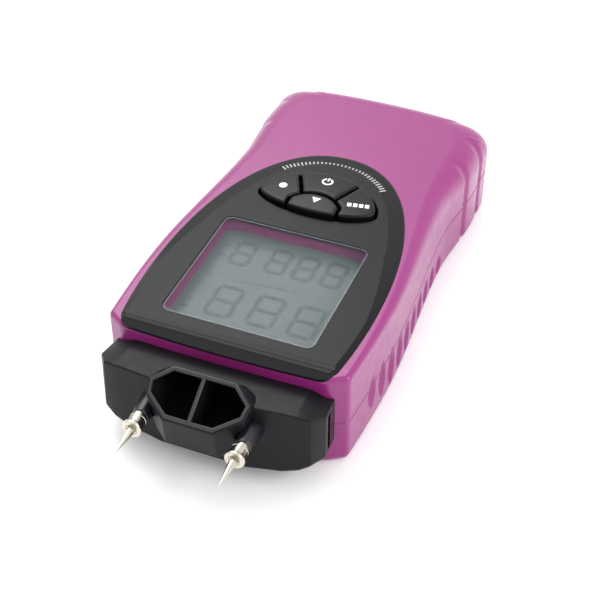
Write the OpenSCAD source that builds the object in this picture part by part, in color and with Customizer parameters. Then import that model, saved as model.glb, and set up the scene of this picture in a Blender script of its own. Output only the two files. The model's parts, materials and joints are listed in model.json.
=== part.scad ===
// Two-pin moisture meter, lying on its back. X runs across, Y from the pins to the tail, Z up.
// The origin is at the middle of the footprint, on the surface that the meter lies on.
// Inside the modules Y is counted from the front edge of the casing; forward() moves it into place.

/* [Casing] */
// Length of the casing, front edge to tail
body_len = 133; // [132:0.5:136]
// Width at the front edge
front_w = 69.8; // [69:0.1:71]
// Width at the finger grips, the widest place
grip_w = 72.8; // [72:0.1:75]
// Width at the waist
waist_w = 67.4; // [66.5:0.1:69]
// Width behind the waist
tail_w = 72; // [71:0.1:74]
// Height of the flat top above the resting face
body_h = 31; // [30.5:0.1:32]
// Height of the joint between the two casing halves
part_z = 14.8; // [14:0.1:15.5]
// Thickness of the casing wall
wall = 2; // [1.8:0.1:2.2]
// Radius of the top edge at the front
edge_front = 1.5; // [1.2:0.1:2]
// Radius of the top edge at the tail
edge_tail = 10; // [8:0.5:10.5]

/* [Panel and display] */
// Greatest width of the black panel
panel_w = 66.2; // [65:0.1:66.5]
// Where the arched end of the panel lies
panel_end = 91.2; // [90:0.1:92]
// How far the panel stands above the casing
panel_rise = 1; // [0.8:0.1:1.2]
// Width of the clear window
window_w = 44.4; // [43:0.1:45]
// Length of the clear window
window_l = 44.7; // [43.5:0.1:45]
// Front edge of the clear window
window_y = 5.5; // [5.3:0.1:6]

/* [Keys] */
// How far a key can be pressed
key_travel = 0.7; // [0.4:0.1:0.8]
// Gap between neighbouring keys
key_gap = 0.9; // [0.8:0.1:1]
// How far the key tops stand above the panel
key_rise = 2.2; // [1.8:0.1:2.4]

/* [Sensor head and pins] */
// Distance between the two pins
pin_spacing = 28.9; // [28.5:0.1:29.5]
// Height of the pins
pin_z = 20; // [19.5:0.1:20.5]
// How far the needle tips stand out from the casing's front edge
pin_reach = 37.4; // [37:0.1:39]
// Diameter of a needle at its root
needle_d = 2.4; // [2.2:0.1:2.6]
// Diameter of the black insulating posts
post_d = 6; // [5.8:0.1:6.2]

/* [Battery] */
// Width of the battery block
cell_w = 26.5; // [25.5:0.1:26.5]
// Height of the battery block
cell_h = 17.5; // [16.5:0.1:17.5]

/* [Hidden] */
$fn = 48;
fit = 0.05;        // radial clearance of a running fit
gap = 0.3;         // clearance between pieces that move past each other

// Plan of the casing
grip_y = 32;                          // widest place
waist_y = 86;                         // narrowest place
flare_y = 113;                        // where the tail is at full width
nose_y = -4;                          // middle of the front face
nose_x = 29.4;                        // end of the flat front face, where the corner bevel starts
nose_sag = 0.6;                       // how far the front face falls back at nose_x
corner_r = 6.5;                       // tail corners in plan
tail_sag = 2.6;                       // how far the tail's end falls back at its corners
foot_r = 2.4;                         // radius of the bottom edge
top_z = body_h;
ceiling_z = top_z - 2.6;              // inside of the top wall
pocket_z = top_z - 1;                 // floor of the panel's recess
panel_z = top_z + panel_rise;
overall = body_len + pin_reach;
shift_y = pin_reach - overall / 2;    // casing's front edge in the part's frame

// Screw places, [x, y]
case_bosses = [[30.7, 14], [28.4, 92]];
board_bosses = [[23.5, 57], [23.5, 73]];
case_boss_r = 2.9;
board_boss_r = 2.3;

// Display stack, from the top down
lcd_top = top_z - 4.4;
lcd_t = 2.6;
board_top = top_z - 12;
board_t = 1.6;
board_w = 51.6;
board_y = [5, 78];
under = board_top - board_t;          // underside of the board
window_mid = window_y + window_l / 2;

// Panel
panel_wide_y = 25;                    // where the panel is widest and its arch begins

// Keys
cluster_y = 65;                       // where the cluster of keys is widest
cluster_rx = 17.9;
cluster_back = 13.5;
cluster_front = 5.9;
moat = 0.8;                           // gap between the cluster and the panel round it
lens_top = 67.4;                      // crown of the lower key
lens_r = 9.4;                         // radius of the arc over it
lens_w = 7.9;                         // and its half width
wedge_y = [63, 81];
wedge_w = [3.8, 12];                  // half width of the power key at those places
key_top = panel_z + key_rise;
mat_t = 0.6;
dome_h = 2.4;
stem_end = board_top + mat_t + dome_h;
stems = [["left", [-12.6, 67.2]], ["power", [0, 72.8]], ["down", [0, 63.6]], ["right", [12.6, 67.2]]];

// Head and pins
face_y = -16.5;                       // plane of the head's face at the pins
head_x = 31.5;                        // half width of the head at the casing
post_end = -23.3;
flange_y = -28.3;
post_r = post_d / 2;
post_tip_r = 2.45;
shank_r = needle_d / 2;
stub_r = 1.9;
collar_r = 2.35;
flange_r = 2.8;
hollow_y = -3;                        // front of the head's inner hollow
hollow_z = [6.4, 24.8];               // and its floor and roof
head_z = [4.2, 26];                   // height of the tenon that passes through the casing's front wall
// Corner points of the head's block and of its nose; the mouth is an octagon on a slope
block = [
  [head_x, -1, 24], [24.8, -1, 26.8], [head_x, -1, 9], [28, -1, 4],
  [32.4, -10.2, 25], [26, -10.5, 27], [32.4, -10.2, 10.6], [27, -10.5, 4.4],
  [29.6, -14, 26.2], [25.5, -14.9, 27.2], [12, -16.2, 27.4],
  [29.9, -14.6, 10.6], [26.8, -15.8, 8.8], [22, -16.5, 7.2], [12, -17.3, 5.6]
];
mouth = [[9.4, -12.9, 31], [14.6, -17.2, 28.5], [14, -20.4, 26.4], [7.2, -25, 23.5]];
chin = [[7.6, -23.4, 13.6], [12.6, -19, 13]];
nose_root = [[9.4, -9, 27], [14.6, -11, 26], [12.6, -11, 11], [7.6, -11, 10]];
lock_y = [0.2, 1.4];                  // flange behind the casing's front wall

// Battery bay
cell_y = [83.8, 129.8];
cell_z = 3;
stud_x = 6.35;                        // battery studs, either side of the middle
stud_z = cell_z + 9;
stud_r = [2.9, 3.6];
door_x = 17;
door_y = 80;
door_t = 2;

function ease(t) = t * t * (3 - 2 * t);
function half_w(y) =
  y < grip_y ? (front_w + (grip_w - front_w) * sin(90 * y / grip_y)) / 2 :
  y < waist_y ? (grip_w + (waist_w - grip_w) * ease((y - grip_y) / (waist_y - grip_y))) / 2 :
  y < flare_y ? (waist_w + (tail_w - waist_w) * ease((y - waist_y) / (flare_y - waist_y))) / 2 :
  tail_w / 2;
// Radius of the casing's top edge, growing towards the tail
function edge_r(y) = edge_front + (edge_tail - edge_front) * pow(max(0, min(1, y / 125)), 1.6);
function tail_at(x) = body_len - tail_sag * pow(abs(x) / (tail_w / 2 - corner_r), 2.4);
function nose_at(x) = nose_y + nose_sag * pow(abs(x) / nose_x, 2);

// Right half of one level of the casing: a list of [x, y, z]. s is 0 on the wall and 1 on the flat;
// the edge between them is a quarter circle. in_d is the depth below the outer skin.
side_n = 13;
function level_r(y, up) = up ? edge_r(y) : foot_r;
function level_in(y, up, a, in_d) = in_d + level_r(y, up) * (1 - cos(a));
function level_h(y, up, a, flat_z) = flat_z + (up ? -1 : 1) * level_r(y, up) * (1 - sin(a));
function half_level(up, a, in_d, flat_z) =
  let (
    d0 = level_in(0, up, a, in_d), h0 = level_h(0, up, a, flat_z),
    d1 = level_in(body_len, up, a, in_d), h1 = level_h(body_len, up, a, flat_z),
    cx = tail_w / 2 - d1 - corner_r, cy = tail_at(tail_w / 2 - corner_r) - d1 - corner_r
  )
  [
    for (k = [0:2]) [nose_x * k / 2, nose_at(nose_x * k / 2) + d0, h0],
    for (k = [0:side_n]) let (
      y = d0 * 0.7 + (cy - d0 * 0.7) * k / side_n, d = level_in(y, up, a, in_d)
    ) [half_w(y) - d, y, level_h(y, up, a, flat_z)],
    for (k = [1:3]) [cx + corner_r * cos(k * 22.5), cy + corner_r * sin(k * 22.5), h1],
    for (k = [0:3]) let (x = cx * (1 - k / 4)) [x, tail_at(x) - d1, h1],
    [0, body_len - d1, h1]
  ];
function full_level(half) = concat(
  half, [for (k = [len(half) - 2:-1:1]) [-half[k][0], half[k][1], half[k][2]]]
);
// Solid through a list of closed levels, lowest first
module loft(levels) {
  n = len(levels[0]);
  m = len(levels);
  polyhedron(
    points = [for (level = levels) for (p = level) p],
    faces = concat(
      [[for (k = [0:n - 1]) k]],
      [for (j = [0:m - 2]) for (k = [0:n - 1]) let (q = (k + 1) % n)
        each [[j * n + k, (j + 1) * n + k, (j + 1) * n + q], [j * n + k, (j + 1) * n + q, j * n + q]]],
      [[for (k = [n - 1:-1:0]) (m - 1) * n + k]]
    )
  );
}
function flat_level(half, z) = [for (p = half) [p[0], p[1], z]];
// Casing solid above or below the joint; in_d > 0 gives the cavity inside it
module casing_top(in_d, flat_z, from_z) {
  wall_level = half_level(true, 0, in_d, flat_z);
  loft([full_level(flat_level(wall_level, from_z)),
    for (a = [0, 22, 42, 60, 76, 90]) full_level(half_level(true, a, in_d, flat_z))]);
}
module casing_base(in_d, flat_z, to_z) {
  loft([for (a = [90, 60, 30, 0]) full_level(half_level(false, a, in_d, flat_z)),
    full_level(flat_level(half_level(false, 0, in_d, flat_z), to_z))]);
}

module forward() { translate([0, shift_y, 0]) children(); }
// A box from one corner to the opposite one
module span(lo, hi) { translate(lo) cube(hi - lo); }
// A rod along Y
module rod(x, z, r, y0, y1) { translate([x, y0, z]) rotate([-90, 0, 0]) cylinder(r = r, h = y1 - y0); }
// A cone along a pin, from radius r0 at y0 forward to r1 at y1
module taper(x, r0, r1, y0, y1) {
  translate([x, y0, pin_z]) rotate([90, 0, 0]) cylinder(r1 = r0, r2 = r1, h = y0 - y1);
}
module both_sides() {
  children();
  mirror([1, 0, 0]) children();
}

// Plan of the panel: a superellipse arch behind its widest place, gently narrowed in front of it
function panel_half(y) = panel_w / 2 - 2.5 * pow((panel_wide_y - y) / 28, 2);
module panel_plan(grow = 0) {
  w = panel_w / 2 + grow;
  l = panel_end - panel_wide_y + grow;
  side = concat(
    [[0, nose_y - 0.1 - grow], [27.5, nose_y + 0.5 - grow], [29.8, nose_y + 1.2 - grow]],
    [for (y = [-1.5:3.5:19.5]) [panel_half(y) + grow, y]],
    [for (a = [0:6:84]) [w * pow(cos(a), 0.92), panel_wide_y + l * pow(sin(a), 0.92)]]
  );
  other_side = [for (k = [len(side) - 1:-1:1]) [-side[k][0], side[k][1]]];
  polygon(concat(side, [[0, panel_wide_y + l]], other_side));
}
module window_plan(grow = 0) {
  r = 2.5 + grow;
  w = window_w / 2 + grow - r;
  for (s = [-1, 1], t = [-1, 1])
    translate([s * w, window_mid + t * (window_l / 2 + grow - r)]) circle(r = r);
  square_about([0, window_mid], [2 * w, window_l + 2 * grow]);
  square_about([0, window_mid], [2 * (w + r), window_l + 2 * grow - 2 * r]);
}
module square_about(c, size) { translate(c) square(size, center = true); }
module slab(z0, z1) { translate([0, 0, z0]) linear_extrude(height = z1 - z0) children(); }

// Outlines of the four keys. They share one egg-shaped cluster; g shrinks a key on every side.
function bow(t) = sign(t) * pow(abs(t), 1.1);
module cluster_plan(g = 0) {
  polygon([for (a = [0:7.5:352.5]) let (ry = a < 180 ? cluster_back : cluster_front)
    [(cluster_rx - g) * bow(cos(a)), cluster_y + (ry - g) * bow(sin(a))]]);
}
// Everything in front of the arc that parts the lower key from the power key
module lens_plan(g = 0) {
  intersection() {
    translate([0, lens_top - lens_r]) circle(r = lens_r - g);
    translate([-lens_w + g, 55]) square([2 * (lens_w - g), 20]);
  }
}
module wedge_plan(g = 0) {
  w = [wedge_w[0] - g, wedge_w[1] - g];
  polygon([[-w[0], wedge_y[0]], [w[0], wedge_y[0]], [w[1], wedge_y[1]], [-w[1], wedge_y[1]]]);
}
module key_plan(name, g, rim) {
  if (name == "down") intersection() { lens_plan(g); cluster_plan(rim); }
  else if (name == "power") difference() {
    intersection() { cluster_plan(rim); wedge_plan(g); }
    lens_plan(-g);
  }
  else difference() {
    intersection() {
      cluster_plan(rim);
      translate([name == "left" ? -25 : g, 55]) square([25 - g, 40]);
    }
    lens_plan(-g);
    translate([-lens_w - g, 55]) square([2 * (lens_w + g), lens_top - 58]);
    wedge_plan(-g);
  }
}
function stem_of(name) = [for (s = stems) if (s[0] == name) s[1]][0];

// Solid through the corner points on the right and their mirror images on the left
module point_cloud(points) {
  hull() for (p = points, s = [-1, 1]) translate([s * p[0], p[1], p[2]]) cube(0.02, center = true);
}
// One half of the mouth's hollow, between the rim and the back wall
module mouth_cell() {
  x0 = 0.6;                           // half the thickness of the divider
  rim = [[x0, -14.2, 31.2], [8.6, -14.4, 31.2], [13.2, -17.8, 28.9], [12.7, -20, 27.3],
    [6.6, -23.9, 24.8], [x0, -23.9, 24.8]];
  back = [[x0, -5, 21.5], [8.6, -5, 21.5], [10.4, -5, 20.5], [10.4, -5, 18.5], [7, -5, 16], [x0, -5, 16]];
  floor_points = [[x0, -22.6, 16], [6.2, -22.6, 16], [10.2, -18.6, 18]];
  hull() for (p = concat(rim, back, floor_points)) translate(p) cube(0.02, center = true);
}
// Plan of the head's back, which follows the casing's front face with a small gap
module head_back_plan() {
  d = 0.1;
  far = 40;
  bevel = [33, -1.35];                // a point just in front of the casing's corner bevel
  polygon([[-far, -1], [-bevel[0], bevel[1]], [-nose_x - d, nose_at(nose_x) - d],
    [-nose_x / 2, nose_at(nose_x / 2) - d], [0, nose_y - d],
    [nose_x / 2, nose_at(nose_x / 2) - d], [nose_x + d, nose_at(nose_x) - d],
    bevel, [far, -1], [far, 10], [-far, 10]]);
}

module front_shell() {
  color("#B03287") forward() difference() {
    union() {
      difference() {
        casing_top(0, top_z, part_z);
        difference() {
          casing_top(wall, ceiling_z, part_z - 1);
          // walls of the window well
          slab(lcd_top + 0.1, top_z) window_plan(2);
        }
      }
      intersection() {
        both_sides() for (p = case_bosses)
          translate([p[0], p[1], part_z]) cylinder(r = case_boss_r, h = ceiling_z + 0.4 - part_z);
        slab(part_z, top_z) square_about([0, 50], [68.4, 120]);
      }
      both_sides() for (p = board_bosses)
        translate([p[0], p[1], board_top]) cylinder(r = board_boss_r, h = ceiling_z + 0.4 - board_top);
    }
    slab(pocket_z, top_z + 1) panel_plan(0.1);
    slab(part_z - 1, top_z) window_plan(0.4);
    slab(part_z, top_z) cluster_plan(-moat - fit);
    both_sides() for (p = case_bosses) translate([p[0], p[1], part_z - 1]) cylinder(r = 1.05, h = 10);
    both_sides() for (p = board_bosses) translate([p[0], p[1], board_top - 1]) cylinder(r = 0.8, h = 6);
    head_opening();
  }
}
module head_opening() { span([-nose_x - 0.2, -8, head_z[0] - 0.1], [nose_x + 0.2, 1, head_z[1] + 0.1]); }

module back_shell() {
  color("#A82D80") forward() difference() {
    union() {
      difference() {
        casing_base(0, 0, part_z);
        casing_base(wall, wall, part_z + 1);
      }
      intersection() {
        both_sides() for (p = case_bosses)
          translate([p[0], p[1], 0]) cylinder(r = case_boss_r + 0.3, h = part_z);
        slab(0, part_z) square_about([0, 50], [68.4, 120]);
      }
    }
    both_sides() for (p = case_bosses) translate([p[0], p[1], -1]) {
      cylinder(r = 2.5, h = 9);
      cylinder(r = 1.3, h = 20);
    }
    // bay for the sliding door and the grooves for its tongues
    span([-door_x - 0.15, door_y - 0.15, -1], [door_x + 0.15, body_len + 5, door_t + 0.15]);
    span([-door_x - 1.2, door_y + 0.4, 0.8], [door_x + 1.2, body_len + 5, door_t - 0.05]);
    span([-door_x - 0.15, door_y + 2, 0], [door_x + 0.15, cell_y[1], wall + 2]);
    head_opening();
  }
}

module battery_door() {
  color("#A02A78") forward() difference() {
    union() {
      intersection() {
        casing_base(0, 0, part_z);
        span([-door_x, door_y, -1], [door_x, body_len + 5, door_t]);
      }
      span([-door_x - 1, door_y + 0.8, 0.95], [door_x + 1, body_len - 8, door_t - 0.2]);
    }
    // finger ridges, shorter one after another
    for (k = [0:4]) let (half = 9 - k * 0.8, y0 = door_y + 8 + k * 2.4)
      span([-half, y0, -1], [half, y0 + 1.2, 0.5]);
  }
}

module bezel_frame() {
  color("#404042") forward() difference() {
    slab(pocket_z, panel_z) panel_plan(0);
    slab(pocket_z - 1, panel_z + 1) window_plan(0);
    slab(pocket_z - 1, panel_z - 0.4) window_plan(0.8);
    slab(pocket_z - 1, panel_z + 1) cluster_plan(-moat);
  }
}
module display_window() {
  color("#C8DADC", 0.35) forward() {
    slab(pocket_z, panel_z - 0.4) window_plan(0.8 - 0.02);
    slab(panel_z - 0.4, panel_z - 0.2) window_plan(-0.02);
  }
}

// A key: cap, retaining flange under the casing's top wall, and the stem that presses its dome
module key(name) {
  g = key_gap / 2;
  color("#3A3A3C") forward() {
    slab(ceiling_z - 0.9, key_top) key_plan(name, g, 0);
    slab(ceiling_z - 1.2, ceiling_z - gap) key_plan(name, g, -moat - 0.8);
    translate([stem_of(name)[0], stem_of(name)[1], stem_end])
      cylinder(r = 1.8, h = ceiling_z - 1 - stem_end);
  }
}
module key_left() { key("left"); }
module key_power() { key("power"); }
module key_down() { key("down"); }
module key_right() { key("right"); }

module keypad_mat() {
  color("#8A8D90") forward() difference() {
    slab(board_top, board_top + mat_t)
      polygon([[-17, 60], [17, 60], [17, 71.5], [8, 75.2], [-8, 75.2], [-17, 71.5]]);
    for (s = stems) translate([s[1][0], s[1][1], board_top + 0.3]) cylinder(r = 2.3, h = 2);
  }
}
// A silicone dome between the board and a key's stem
module dome(name) {
  color("#B5B8BA") forward() translate([stem_of(name)[0], stem_of(name)[1], board_top + 0.3])
    difference() {
      rotate_extrude() polygon([[0, 0], [2.3, 0], [2.3, 0.4], [1.5, dome_h + 0.25], [0, dome_h + 0.25]]);
      translate([0, 0, -1]) cylinder(r = 1.1, h = 1 + dome_h - 0.6);
    }
}
module dome_left() { dome("left"); }
module dome_power() { dome("power"); }
module dome_down() { dome("down"); }
module dome_right() { dome("right"); }

module lcd_glass() {
  color("#8FA09E") forward() {
    span([-24.4, window_y - 2.2, lcd_top - 1.3], [24.4, window_y + window_l + 2.2, lcd_top]);
    span([-24.4, window_y, lcd_top - lcd_t], [24.4, window_y + window_l + 2.2, lcd_top - 1.3]);
  }
}
module lcd_holder() {
  color("#2E2F31") forward() difference() {
    span([-26, window_y - 3.6, board_top], [26, window_y + window_l + 3.6, lcd_top]);
    span([-24.5, window_y - 2.3, board_top + 1.6], [24.5, window_y + window_l + 2.3, lcd_top + 1]);
    span([-23, window_y - 1.6, board_top - 1], [23, window_y - 0.2, board_top + 2]);
    span([-20, window_y + 2, board_top - 1], [20, window_y + window_l - 2, board_top + 2]);
  }
}
module backlight_panel() {
  color("#E8ECEA") forward()
    span([-23.8, window_y + 0.6, board_top + 1.6], [23.8, window_y + window_l + 1.8, lcd_top - lcd_t]);
}
module zebra_strips() {
  color("#3C5A78") forward() for (x0 = [-22.8, 0.4])
    span([x0, window_y - 1.5, board_top], [x0 + 22.4, window_y - 0.3, lcd_top - 1.3]);
}
module main_board() {
  color("#1E6B3C") forward() difference() {
    span([-board_w / 2, board_y[0] - 3.4, board_top - board_t], [board_w / 2, board_y[1], board_top]);
    both_sides() for (p = board_bosses) translate([p[0], p[1], 10]) cylinder(r = 1.05, h = 20);
  }
}
module board_chips() {
  color("#26282B") forward() {
    span([-5, 26, under - 1.6], [5, 36, under]);
    span([-17, 44, under - 1.4], [-11, 49, under]);
    span([10, 52, under - 1.2], [14, 58, under]);
    for (k = [0:5]) span([-16 + 4.2 * k, 16, under - 0.7], [-14.4 + 4.2 * k, 17, under]);
  }
}
module buzzer() {
  color("#1C1C1E") forward() translate([16, 36, under - 4.2]) difference() {
    cylinder(r = 6, h = 4.2);
    translate([0, 0, -1]) cylinder(r = 1, h = 2);
  }
}

module sensor_head() {
  color("#3B3A3D") forward() difference() {
    union() {
      difference() {
        union() {
          point_cloud(block);
          point_cloud(concat(mouth, chin, nose_root));
        }
        slab(0, 40) head_back_plan();
      }
      // tenon through the casing's front wall, and the flange that locks behind it
      span([-nose_x, nose_y - 2, head_z[0]], [nose_x, lock_y[1], head_z[1]]);
      span([-30.6, lock_y[0], 3.2], [30.6, lock_y[1], head_z[1] + 1]);
    }
    mouth_cell();
    mirror([1, 0, 0]) mouth_cell();
    span([-26.5, hollow_y, hollow_z[0]], [26.5, 4, hollow_z[1]]);
    for (s = [-1, 1]) {
      rod(s * pin_spacing / 2, pin_z, post_r + fit, -30, hollow_y + 1);
      // vents between the mouth and the hollow
      span([s * 6 - 2.4, -6, 17.6], [s * 6 + 2.4, hollow_y + 1, 21]);
      // catches for a push-on cap
      span([s * 32 - 1.2, -8.6, 11.5], [s * 32 + 1.2, -6.4, 24]);
    }
  }
}

module air_board() {
  color("#1F6E42") forward()
    span([-11, hollow_y + 1.2, 8], [11, hollow_y + 2.4, 23.4]);
}
module air_sensor() {
  color("#D8D9DA") forward() for (x = [-6, 6])
    span([x - 1.6, hollow_y + 0.3, 17.8], [x + 1.6, hollow_y + 1.2, 20.8]);
}

// Pins. side is -1 on the left and 1 on the right.
module pin_post(side) {
  x = side * pin_spacing / 2;
  color("#1F1E24") forward() difference() {
    union() {
      rod(x, pin_z, post_r, face_y, hollow_y + 0.8);
      rod(x, pin_z, post_r + 0.9, hollow_y, hollow_y + 0.8);
      // the part that stands out of the head narrows to the ferrule
      taper(x, post_r, post_tip_r, face_y, post_end);
    }
    rod(x, pin_z, stub_r + fit, post_end - 1, -14.5);
    rod(x, pin_z, shank_r + 2 * fit, -20, 1);
  }
}
module pin_collar(side) {
  x = side * pin_spacing / 2;
  color("#C9C5BC") forward() difference() {
    union() {
      rod(x, pin_z, stub_r, post_end - 0.5, -19);
      rod(x, pin_z, collar_r, flange_y + 1, post_end - 0.05);
      rod(x, pin_z, flange_r, flange_y, flange_y + 1.2);
    }
    rod(x, pin_z, shank_r + fit, flange_y - 1, -18);
  }
}
module pin_needle(side) {
  x = side * pin_spacing / 2;
  color("#CFCBC2") forward() union() {
    rod(x, pin_z, shank_r, flange_y - 0.4, -13);
    taper(x, shank_r, 0.12, flange_y - 0.4, -pin_reach);
  }
}
module pin_contact(side) {
  x = side * pin_spacing / 2;
  color("#C9A24E") forward() {
    rod(x, pin_z, shank_r, -8, hollow_y + 1.2);
    span([x - 1.2, hollow_y + 0.9, board_top], [x + 1.2, hollow_y + 1.4, pin_z + 1.5]);
    span([x - 1.2, hollow_y + 1.4, board_top], [x + 1.2, board_y[0] - 3.4, board_top + 0.5]);
  }
}
module pin_post_left() { pin_post(-1); }
module pin_post_right() { pin_post(1); }
module pin_collar_left() { pin_collar(-1); }
module pin_collar_right() { pin_collar(1); }
module pin_needle_left() { pin_needle(-1); }
module pin_needle_right() { pin_needle(1); }
module pin_contact_left() { pin_contact(-1); }
module pin_contact_right() { pin_contact(1); }

module battery() {
  color("#5A6470") forward() {
    span([-cell_w / 2, cell_y[0], cell_z], [cell_w / 2, cell_y[1], cell_z + cell_h]);
    rod(-stud_x, stud_z, stud_r[0], cell_y[0] - 2, cell_y[0]);
    rod(stud_x, stud_z, stud_r[1], cell_y[0] - 2, cell_y[0]);
  }
}
module battery_snap() {
  color("#151517") forward() difference() {
    span([-12.5, cell_y[0] - 3.6, 7], [12.5, cell_y[0] - 0.2, 17]);
    rod(-stud_x, stud_z, stud_r[0] + fit, cell_y[0] - 2.1, cell_y[0]);
    rod(stud_x, stud_z, stud_r[1] + fit, cell_y[0] - 2.1, cell_y[0]);
  }
}
module battery_leads() {
  snap_y = cell_y[0] - 3.6;
  color("#A83232") forward() both_sides() {
    rod(4, 10, 0.7, 70, snap_y);
    translate([4, 70, 10]) sphere(r = 0.7);
    translate([4, 70, 10]) cylinder(r = 0.7, h = under - 10);
  }
}
module case_screws() {
  color("#9A9A9C") forward() both_sides() for (p = case_bosses) translate([p[0], p[1], 8]) difference() {
    union() {
      translate([0, 0, -1.6]) cylinder(r = 2.3, h = 1.6);
      cylinder(r = 1.05, h = 14);
    }
    translate([0, 0, -2]) cylinder(r = 1, h = 1.2, $fn = 6);
  }
}
module board_screws() {
  color("#B0A88C") forward() both_sides() for (p = board_bosses) translate([p[0], p[1], under - 1.2]) {
    cylinder(r = 1.8, h = 1.2);
    cylinder(r = 0.8, h = 6.5);
  }
}

front_shell();
back_shell();
battery_door();
bezel_frame();
display_window();
key_left();
key_power();
key_down();
key_right();
keypad_mat();
dome_left();
dome_power();
dome_down();
dome_right();
lcd_glass();
lcd_holder();
backlight_panel();
zebra_strips();
main_board();
board_chips();
buzzer();
sensor_head();
air_board();
air_sensor();
pin_post_left();
pin_post_right();
pin_collar_left();
pin_collar_right();
pin_needle_left();
pin_needle_right();
pin_contact_left();
pin_contact_right();
battery();
battery_snap();
battery_leads();
case_screws();
board_screws();
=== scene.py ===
import json
import math

import bmesh
import bpy
from mathutils import Matrix, Vector


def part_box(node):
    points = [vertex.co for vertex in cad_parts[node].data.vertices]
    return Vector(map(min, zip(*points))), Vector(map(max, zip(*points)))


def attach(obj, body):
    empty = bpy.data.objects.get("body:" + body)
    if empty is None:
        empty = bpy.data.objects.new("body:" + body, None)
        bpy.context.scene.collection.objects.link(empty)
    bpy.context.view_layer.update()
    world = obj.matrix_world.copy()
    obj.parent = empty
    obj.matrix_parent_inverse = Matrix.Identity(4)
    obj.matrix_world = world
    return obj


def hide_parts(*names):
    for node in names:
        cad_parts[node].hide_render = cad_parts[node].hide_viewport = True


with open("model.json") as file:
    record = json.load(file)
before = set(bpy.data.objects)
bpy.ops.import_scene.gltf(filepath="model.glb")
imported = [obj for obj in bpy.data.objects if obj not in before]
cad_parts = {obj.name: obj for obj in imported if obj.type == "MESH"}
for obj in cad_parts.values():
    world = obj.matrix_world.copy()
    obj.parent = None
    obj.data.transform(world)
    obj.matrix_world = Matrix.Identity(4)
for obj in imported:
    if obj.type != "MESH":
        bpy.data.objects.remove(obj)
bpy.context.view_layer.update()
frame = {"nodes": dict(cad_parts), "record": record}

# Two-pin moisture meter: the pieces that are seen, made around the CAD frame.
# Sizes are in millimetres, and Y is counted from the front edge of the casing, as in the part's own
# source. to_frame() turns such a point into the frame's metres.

MM = 0.001
SAME_POINT = 0.000003  # metres between points that count as one


def box_mm(node):
    """The lowest and highest corner of a CAD node, in millimetres of the row frame."""
    low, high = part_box(node)
    return low / MM, high / MM


# ---- Places and sizes taken from the frame ---------------
FRONT_LOW, FRONT_HIGH = box_mm("front_shell")
NOSE_Y = -4.0  # middle of the casing's front face
FRONT_EDGE = FRONT_LOW.y - NOSE_Y  # row-frame Y of the casing's front edge
BODY_LEN = FRONT_HIGH.y - FRONT_EDGE
TOP_Z = FRONT_HIGH.z
PART_Z = FRONT_LOW.z
GRIP_W = FRONT_HIGH.x - FRONT_LOW.x
PANEL_LOW, PANEL_HIGH = box_mm("bezel_frame")
PANEL_Z = PANEL_HIGH.z
POCKET_Z = PANEL_LOW.z
PANEL_W = PANEL_HIGH.x - PANEL_LOW.x
PANEL_END = PANEL_HIGH.y - FRONT_EDGE
LCD_LOW, LCD_HIGH = box_mm("lcd_glass")
LCD_TOP = LCD_HIGH.z
KEY_TOP = box_mm("key_power")[1].z
NEEDLE_LOW, NEEDLE_HIGH = box_mm("pin_needle_right")
PIN_X = (NEEDLE_LOW.x + NEEDLE_HIGH.x) / 2
PIN_Z = (NEEDLE_LOW.z + NEEDLE_HIGH.z) / 2
TIP_Y = NEEDLE_LOW.y - FRONT_EDGE
NEEDLE_R = (NEEDLE_HIGH.z - NEEDLE_LOW.z) / 2
DOOR_LOW = box_mm("battery_door")[0]

# ---- Driving sizes that the frame doesn't state ----------
# Casing width at the front, the waist and the tail
FRONT_W = 69.8
WAIST_W = 67.4
TAIL_W = 72.0
# Where the casing is widest, where it is slimmest, and where the tail begins
GRIP_Y = 32.0
WAIST_Y = 86.0
FLARE_Y = 113.0
# Radius of the casing's top edge at the front and at the tail, and where it stops growing
EDGE_FRONT = 1.5
EDGE_TAIL = 10.0
EDGE_GROWN_Y = 125.0
FOOT_R = 2.4  # radius of the edge round the back
WALL = 2.0
NOSE_X = 29.4  # half width of the front face
NOSE_SAG = 0.6
CORNER_R = 6.5  # tail corners in plan
FRONT_CORNER = 1.2  # the two bends of each front corner in plan
SIDE_CORNER = 1.1
TAIL_SAG = 2.6
CEILING_Z = TOP_Z - 2.6
PANEL_WIDE_Y = 25.0  # where the panel is widest
# The display window in plan
WINDOW_W = 44.4
WINDOW_LENGTH = 44.7
WINDOW_FRONT_Y = 5.5
WINDOW_R = 2.5
# The egg-shaped group of four keys: middle, half width, reach to the back and to the front
CLUSTER_Y = 65.0
CLUSTER_RX = 17.9
CLUSTER_BACK = 13.5
CLUSTER_FRONT = 5.9
CLUSTER_BOW = 1.1  # 1 would be an ellipse


def to_frame(x, y, z):
    """A drawing point in the row frame, in metres."""
    return Vector((x * MM, (y + FRONT_EDGE) * MM, z * MM))


# ---- Camera ----------------------------------------------
# Where the camera stands, which way it looks, and which way its right side points
CAMERA_AT = Vector((0.11901, -0.29098, 0.27796))
CAMERA_AHEAD = Vector((-0.28384092, 0.70374551, -0.65128841))
CAMERA_RIGHT = Vector((0.92704725, 0.37494284, 0.00112147))
CAMERA_LENS = 83.29
CAMERA_SENSOR = 36.0


def add_camera():
    up = CAMERA_RIGHT.cross(CAMERA_AHEAD)
    turn = Matrix((CAMERA_RIGHT, up, -CAMERA_AHEAD)).transposed()
    camera = bpy.data.objects.new("camera", bpy.data.cameras.new("camera"))
    camera.data.lens = CAMERA_LENS
    camera.data.sensor_width = CAMERA_SENSOR
    camera.data.clip_start = 0.01
    camera.data.clip_end = 20.0
    camera.matrix_world = Matrix.Translation(CAMERA_AT) @ turn.to_4x4()
    bpy.context.scene.collection.objects.link(camera)
    bpy.context.scene.camera = camera


add_camera()


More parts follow.
